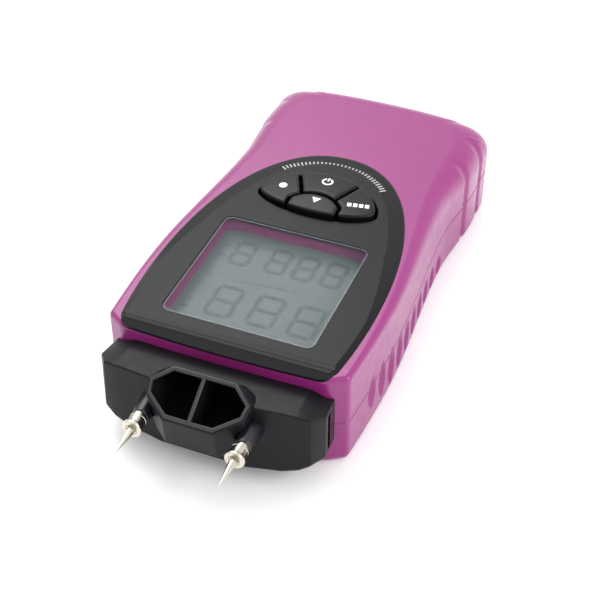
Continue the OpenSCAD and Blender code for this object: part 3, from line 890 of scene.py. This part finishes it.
def make_display():
    """The display's glass, and everything that is drawn on it."""
    front = LCD_LOW.y - FRONT_EDGE
    back = LCD_HIGH.y - FRONT_EDGE
    glass = slab((LCD_LOW.x, front, LCD_LOW.z), (LCD_HIGH.x, back, LCD_TOP), "glass")
    soften(glass, 0.25, 30, 2)
    piece(glass, "display_glass", "housing", FINISHES["lcd"], "lcd", "lcd_glass")
    marks = []
    for cell in UPPER_CELLS + LOWER_CELLS:
        marks += digit(cell)
    # the thin rule between the two rows, and the small signs at the left
    for k in range(8):
        x = -11.3 + 2.4 * k
        y = 29.2 + 0.35 * k - 0.02 * k * k
        marks.append(segment((x, y), (x + 2.2, y + 0.3), 0.4))
    for x, y in ((-19.1, 24.7), (-20.2, 17.6), (-18.6, 42.6)):
        marks += ring_segments(x, y, 1.1, 0.35, 10)
    for x, y in ((-19.5, 14.6), (-19.2, 38.9), (-19.0, 28.8)):
        marks.append(segment((x - 1.3, y), (x + 1.3, y), 0.5))
        marks.append(segment((x, y - 1.1), (x, y + 1.1), 0.4))
    shown = join_prisms("segments", marks, lambda x, y: LCD_TOP - 0.05, lambda x, y: LCD_TOP + SEGMENT_RISE)
    piece(shown, "display_segments", "housing", LCD_SEGMENT, "lcd")


make_display()


# ---- Keys ------------------------------------------------
KEY_GAP = 0.45  # half the gap between neighbouring keys
KEY_ROUND = 0.75  # radius of each key's top edge
KEY_CORNER = 0.22  # softness of its corners in plan
# The lens-shaped key at the front: highest point, radius of its arc, half width
LENS_TOP = 67.4
LENS_R = 9.4
LENS_W = 7.9
# The wedge-shaped key behind it: its half width at two places
WEDGE_LOW_Y = 63.0
WEDGE_LOW_X = 3.8
WEDGE_HIGH_Y = 81.0
WEDGE_HIGH_X = 12.0
KEY_CENTRES = {"left": (-11.8, 67.6), "power": (0.0, 72.8), "down": (0.0, 63.8), "right": (11.8, 67.6)}
KEY_STEMS = {"left": (-12.6, 67.2), "power": (0.0, 72.8), "down": (0.0, 63.6), "right": (12.6, 67.2)}
# The pillow that the four key tops share: middle, half sizes and height
CROWN_Y = 68.0
CROWN_RX = 20.0
CROWN_RY = 16.0
CROWN_RISE = 0.75


def outside_cluster(x, y):
    """Distance out of the cluster's egg shape, about right near its edge."""
    ry = CLUSTER_BACK if y > CLUSTER_Y else CLUSTER_FRONT
    u = (abs(x) / CLUSTER_RX) ** (2 / CLUSTER_BOW)
    v = (abs(y - CLUSTER_Y) / ry) ** (2 / CLUSTER_BOW)
    return ((u + v) ** (CLUSTER_BOW / 2) - 1) * min(CLUSTER_RX, ry)


def outside_lens(x, y):
    """Distance out of the front key's lens shape."""
    arc = math.hypot(x, y - LENS_TOP + LENS_R) - LENS_R
    return max(arc, abs(x) - LENS_W)


def outside_wedge(x, y):
    """Distance out of the wedge between the two side keys."""
    slope = (WEDGE_HIGH_X - WEDGE_LOW_X) / (WEDGE_HIGH_Y - WEDGE_LOW_Y)
    return (abs(x) - WEDGE_LOW_X - slope * (y - WEDGE_LOW_Y)) / math.hypot(1, slope)


def soft_max(values, radius):
    """Largest value, rounded where two are close. It rounds the corners of an outline."""
    top = max(values)
    return top + radius * math.log(sum(math.exp((v - top) / radius) for v in values))


def key_distance(name, x, y):
    """How far a point is outside a key's plan."""
    cluster = outside_cluster(x, y)
    lens = outside_lens(x, y)
    wedge = outside_wedge(x, y)
    if name == "down":
        parts = [cluster, lens + KEY_GAP]
    elif name == "power":
        parts = [cluster, wedge + KEY_GAP, KEY_GAP - lens]
    else:
        side = x if name == "left" else -x
        beside_wedge = KEY_GAP - wedge if y > WEDGE_LOW_Y else -9.0
        parts = [cluster, side + KEY_GAP, KEY_GAP - lens, beside_wedge]
    return soft_max(parts, KEY_CORNER)


def key_outline(name, count=150):
    """The key's plan, found along rays from its middle."""
    cx, cy = KEY_CENTRES[name]
    points = []
    for k in range(count):
        a = 2 * math.pi * k / count
        low = 0.0
        high = 26.0
        step = 0.25
        reach = step
        while key_distance(name, cx + reach * math.cos(a), cy + reach * math.sin(a)) < 0 and reach < high:
            low = reach
            reach += step
        high = reach
        for _ in range(22):
            middle = (low + high) / 2
            if key_distance(name, cx + middle * math.cos(a), cy + middle * math.sin(a)) < 0:
                low = middle
            else:
                high = middle
        points.append((cx + low * math.cos(a), cy + low * math.sin(a)))
    return points


def crown(x, y):
    """Height of the pillow that the four key tops share."""
    u = x / CROWN_RX
    v = (y - CROWN_Y) / CROWN_RY
    return KEY_TOP - 0.06 - CROWN_RISE * (u * u + v * v)


def make_key(name):
    """One key: upright sides, a rounded edge, its part of the pillow, and the stem below."""
    outline = key_outline(name)
    cx, cy = KEY_CENTRES[name]
    rings = [[(x, y, CEILING_Z - 0.9) for x, y in outline]]
    for angle in (0, 15, 30, 45, 60, 75):
        in_part, down_part = quarter(angle)
        ring = []
        for x, y in outline:
            reach = math.hypot(x - cx, y - cy)
            keep = (reach - KEY_ROUND * in_part) / reach
            px = cx + (x - cx) * keep
            py = cy + (y - cy) * keep
            ring.append((px, py, crown(px, py) - KEY_ROUND * down_part))
        rings.append(ring)
    last = [(x, y) for x, y, z in rings[-1]]
    for share in (0.9, 0.75, 0.55, 0.35, 0.15):
        ring = []
        for x, y in last:
            px = cx + (x - cx) * share
            py = cy + (y - cy) * share
            ring.append((px, py, crown(px, py)))
        rings.append(ring)
    rings.append([(cx, cy, crown(cx, cy))])
    cap = loft("key", rings)
    node_name = "key_" + name
    stem_z = box_mm(node_name)[0].z
    stem_x, stem_y = KEY_STEMS[name]
    fuse(cap, upright(stem_x, stem_y, 1.8, stem_z, CEILING_Z - 0.5))
    return piece(cap, "keycap_" + name, node_name, FINISHES["key_rubber"], "key_rubber", node_name,
                 degrees=45)


def key_marks():
    """The printed sign of each key."""
    dot_x, dot_y = KEY_CENTRES["left"]
    turn = [2 * math.pi * k / 20 for k in range(20)]
    dot = [(dot_x + 1.25 * math.cos(a), dot_y + 1.25 * math.sin(a)) for a in turn]
    ring = ring_segments(0.0, 73.9, 1.45, 0.6, 26, math.radians(118), math.radians(304))
    stroke = [[(-0.25, 74.2), (0.25, 74.2), (0.25, 75.8), (-0.25, 75.8)]]
    arrow = [[(-1.4, 65.1), (0.0, 62.7), (1.4, 65.1)]]
    tilt = math.radians(14)
    along = Vector((math.cos(tilt), math.sin(tilt)))
    across = Vector((-along.y, along.x))
    bars = []
    for k in range(4):
        middle = Vector((12.5, 66.4)) + along * (1.75 * (k - 1.5))
        corners = ((-0.62, -0.8), (0.62, -0.8), (0.62, 0.8), (-0.62, 0.8))
        bars.append([tuple(middle + along * a + across * b) for a, b in corners])
    return {"left": [dot], "power": ring + stroke, "down": arrow, "right": bars}


def make_keys():
    """The four keys and their signs."""
    signs = key_marks()
    for name in KEY_CENTRES:
        make_key(name)
        sign = join_prisms("sign", signs[name], lambda x, y: crown(x, y) - 0.1,
                           lambda x, y: crown(x, y) + 0.03)
        piece(sign, "key_sign_" + name, "key_" + name, MARK_WHITE, "key_rubber")


make_keys()


TICKS = 31
TICK_ARCH_Y = 66.8  # middle and half sizes of the arch that they follow
TICK_ARCH_RX = 20.4
TICK_ARCH_RY = 18.9


def make_scale_marks():
    """Tick marks along the arch of the panel."""
    marks = []
    for k in range(TICKS):
        share = k / (TICKS - 1)
        a = math.radians(38 + 104 * (1 - share))
        x = TICK_ARCH_RX * math.cos(a)
        y = TICK_ARCH_Y + TICK_ARCH_RY * math.sin(a)
        out = Vector((math.cos(a), math.sin(a)))
        across = Vector((-out.y, out.x)) * 0.25
        length = 1.1 if k % 5 == 0 else 0.8
        low = Vector((x, y)) - out * length
        high = Vector((x, y)) + out * 0.8
        marks.append([tuple(p) for p in (low + across, low - across, high - across, high + across)])
    ticks = join_prisms("ticks", marks, lambda x, y: PANEL_Z - 0.2, lambda x, y: PANEL_Z - 0.002)
    piece(ticks, "panel_ticks", "housing", MARK_SILVER, "panel_plastic")


make_scale_marks()


# ---- Sensor head and pins --------------------------------
HEAD_X = 31.5
# Points of the right half of each solid
HEAD_BLOCK = [
    (HEAD_X, -1, 24), (24.8, -1, 26.8), (HEAD_X, -1, 9), (28, -1, 4),
    (32.4, -10.2, 25), (26, -10.5, 27), (32.4, -10.2, 10.6), (27, -10.5, 4.4),
    (29.6, -14, 26.2), (25.5, -14.9, 27.2), (12, -16.2, 27.4),
    (29.9, -14.6, 10.6), (26.8, -15.8, 8.8), (22, -16.5, 7.2), (12, -17.3, 5.6)]
HEAD_NOSE = [
    (9.4, -12.9, 31), (14.6, -17.2, 28.5), (14, -20.4, 26.4), (7.2, -25, 23.5),
    (7.6, -23.4, 13.6), (12.6, -19, 13), (9.4, -9, 27), (14.6, -11, 26), (12.6, -11, 11), (7.6, -11, 10)]
MOUTH_RIM = [
    (0.6, -14.2, 31.2), (8.6, -14.4, 31.2), (13.2, -17.8, 28.9), (12.7, -20, 27.3), (6.6, -23.9, 24.8),
    (0.6, -23.9, 24.8)]
MOUTH_CELL = MOUTH_RIM + [
    (0.6, -5, 21.5), (8.6, -5, 21.5), (10.4, -5, 20.5), (10.4, -5, 18.5), (7, -5, 16),
    (0.6, -5, 16), (0.6, -22.6, 16), (6.2, -22.6, 16), (10.2, -18.6, 18)]
# The plane of the mouth's rim: a point on it, and its normal
MOUTH_POINT = Vector((0, -12.9, 31))
MOUTH_NORMAL = Vector((0, -0.527, 0.85))
RIM_CHAMFER = 0.32
# The rounded lip: its middle line in plan, and its section as half widths across and millimetres up
LIP_PATH = [(8.7, -13.33), (13.5, -17.0), (12.96, -20.04), (6.7, -24.2)]
LIP_HALF_W = 0.42
RIB_HALF_W = 0.5
LIP_SECTION = [(1, -0.3), (1, 0.02), (0.85, 0.17), (0.5, 0.26), (0, 0.29), (-0.5, 0.26), (-0.85, 0.17),
               (-1, 0.02), (-1, -0.3)]
HOLLOW_Y = -3.0  # front of the hollow behind the mouth
VENT_X = 6.0
END_SLOT_X = 32.0
POST_R = 3.0


def head_back_outline():
    """Everything behind the head: it follows the casing's front face with a small gap."""
    gap = 0.1
    middle_x = NOSE_X / 2
    half = [(0, NOSE_Y - gap), (middle_x, nose_at(middle_x) - gap), (NOSE_X + gap, nose_at(NOSE_X) - gap),
            (33, -1.35), (40, -1), (40, 10)]
    return half + [(-x, y) for x, y in half[:0:-1]]


def rim_cutter(s):
    """What a small chamfer takes off round one half of the mouth. s is -1 on the left, 1 on the right."""
    normal = MOUTH_NORMAL
    flat = [Vector(p) - normal * (Vector(p) - MOUTH_POINT).dot(normal) for p in MOUTH_RIM]
    middle = sum(flat, Vector()) / len(flat)
    points = []
    for p in flat:
        out = (p - middle).normalized()
        for step in (-1.0, 1.0):
            q = p + out * (RIM_CHAMFER * 1.25 * step) + normal * (RIM_CHAMFER * step)
            points.append((s * q.x, q.y, q.z))
    return hull(points)


def make_head():
    """The head: block and nose, fitted to the casing, with mouth, end slots, vents and pin bores."""
    head = soften(tidy_faces(hull(mirrored(HEAD_BLOCK)), 1.0), 0.55, 12, 3)
    fuse(head, soften(tidy_faces(hull(mirrored(HEAD_NOSE)), 1.0), 0.45, 12, 3))
    cut(head, prism(head_back_outline(), 0, 40))
    fuse(head, slab(*TENON))
    for s in (-1, 1):
        cut(head, hull([(s * x, y, z) for x, y, z in MOUTH_CELL]), rim_cutter(s))
        cut(head, slab((s * END_SLOT_X - 1.2, -8.6, 11.5), (s * END_SLOT_X + 1.2, -6.4, 24)))
    for s in (-1, 1):
        cut(head, slab((s * VENT_X - 2.4, -6, 17.6), (s * VENT_X + 2.4, HOLLOW_Y + 1, 21)),
            rod(s * PIN_X, PIN_Z, POST_R + 0.01, -30, 0))
    return piece(head, "sensor_head_body", "housing", FINISHES["head_plastic"], "head_plastic", "sensor_head")


def nose_top(y):
    """Height of the nose's sloping top."""
    knots = [(point[1], point[2]) for point in HEAD_NOSE[:4]]
    for (y0, z0), (y1, z1) in zip(knots, knots[1:]):
        if y >= y1:
            break
    return z0 + (z1 - z0) * (y - y0) / (y1 - y0)


def make_lip():
    """The rounded lip round the mouth, and the same lip on the rib between its halves, in a lighter, glossier
    black than the head: a painted highlight.
    """
    path = LIP_PATH + [(-x, y) for x, y in reversed(LIP_PATH)]
    bands = []
    for across, height in LIP_SECTION:
        band = offset_outline(path, across * LIP_HALF_W)
        bands.append([(x, y, nose_top(y) + height) for x, y in band])
    rings = [list(ring) for ring in zip(*bands)]
    lip = loft("mouth_lip", rings + rings[:1], False, False)
    weld(lip)
    rib = loft("rib_lip", [
        [(across * RIB_HALF_W, y, nose_top(y) + height) for across, height in LIP_SECTION]
        for y in (-13.4, -17.2, -20.4, -24.1)])
    fuse(lip, rib)
    # The lip's lighter black is a painted highlight on the head's one plastic.
    return piece(lip, "mouth_lip", "housing", HEAD_LIP_HIGHLIGHT, "head_plastic", degrees=40)


# Profiles along a pin: y and radius
POST_PROFILE = [
    (-2.9, 0), (-2.9, POST_R), (-16.4, POST_R), (-17.4, 2.97), (-20.0, 2.75), (-22.4, 2.52),
    (-23.0, 2.42), (-23.2, 2.34), (-23.3, 2.2), (-23.3, 1.97), (-22.6, 1.95), (-22.6, 0)]
COLLAR_PROFILE = [
    (-22.8, 1.9), (-23.34, 1.9), (-23.4, 2.2), (-23.55, 2.34), (-24.4, 2.34), (-24.5, 2.2), (-24.6, 2.2),
    (-24.7, 2.34), (-26.6, 2.34), (-26.95, 2.4), (-27.1, 2.62), (-27.25, 2.76), (-27.45, 2.8),
    (-27.95, 2.8), (-28.15, 2.74), (-28.28, 2.6), (-28.3, 2.4), (-28.3, 1.7), (-28.1, 1.55),
    (-28.0, 1.26), (-27.4, 1.24)]
NEEDLE_ROOT_Y = NEEDLE_HIGH.y - FRONT_EDGE
NEEDLE_PROFILE = [
    (NEEDLE_ROOT_Y, 0), (NEEDLE_ROOT_Y, NEEDLE_R * 0.85), (NEEDLE_ROOT_Y - 0.2, NEEDLE_R),
    (-28.7, NEEDLE_R), (-28.9, NEEDLE_R * 0.985), (-32, NEEDLE_R * 0.66), (-35, NEEDLE_R * 0.34),
    (-36.8, NEEDLE_R * 0.15), (TIP_Y + 0.1, 0.1), (TIP_Y, 0)]


def make_pin(side, name):
    """One pin: the black post, the plated collar and the needle. side is -1 or 1."""
    x = side * PIN_X
    post = lathe("post", POST_PROFILE, x, PIN_Z)
    piece(post, "insulating_post_" + name, "housing", FINISHES["post_plastic"], "post_plastic",
          "pin_post_" + name)
    collar = lathe("collar", COLLAR_PROFILE, x, PIN_Z, 96)
    piece(collar, "pin_ferrule_" + name, "collar_" + name, FINISHES["nickel"], "nickel", "pin_collar_" + name)
    needle = lathe("needle", NEEDLE_PROFILE, x, PIN_Z)
    piece(needle, "needle_" + name, "needle_" + name, FINISHES["needle_steel"], "needle_steel",
          "pin_needle_" + name)


make_head()
make_lip()
make_pin(-1, "left")
make_pin(1, "right")


# ---- Stage -----------------------------------------------
FLOOR_HALF = 4.0
FLOOR_COLOUR = (0.95, 0.95, 0.95, 1.0)
WORLD_COLOUR = (1.0, 1.0, 1.0, 1.0)
WORLD_STRENGTH = 1.2


def soft_box(name, place, size, watts):
    """A square soft light that looks at the object."""
    light = bpy.data.lights.new(name, "AREA")
    light.shape = "SQUARE"
    light.size = size
    light.energy = watts
    lamp = bpy.data.objects.new(name, light)
    lamp.location = place
    lamp.rotation_mode = "QUATERNION"
    lamp.rotation_quaternion = (-Vector(place)).to_track_quat("-Z", "Y")
    bpy.context.scene.collection.objects.link(lamp)


def set_stage():
    """The pale floor, the even light all round, and two soft lights."""
    half = FLOOR_HALF
    corners = [(-half, -half, 0), (half, -half, 0), (half, half, 0), (-half, half, 0)]
    mesh = bpy.data.meshes.new("floor")
    mesh.from_pydata(corners, [], [(0, 1, 2, 3)])
    floor = bpy.data.objects.new("floor", mesh)
    mesh.materials.append(material("floor_white", FLOOR_COLOUR, 0.6, 3.0, 0.0, 0.003))
    bpy.context.scene.collection.objects.link(floor)
    world = bpy.data.worlds.new("studio")
    world.use_nodes = True
    background = world.node_tree.nodes["Background"]
    background.inputs["Color"].default_value = WORLD_COLOUR
    background.inputs["Strength"].default_value = WORLD_STRENGTH
    bpy.context.scene.world = world
    soft_box("key_light", (-0.5, 0.55, 1.1), 0.9, 11.5)
    soft_box("side_light", (1.1, -0.1, 0.7), 0.7, 8.0)
    bpy.context.scene.view_settings.view_transform = "Standard"


set_stage()
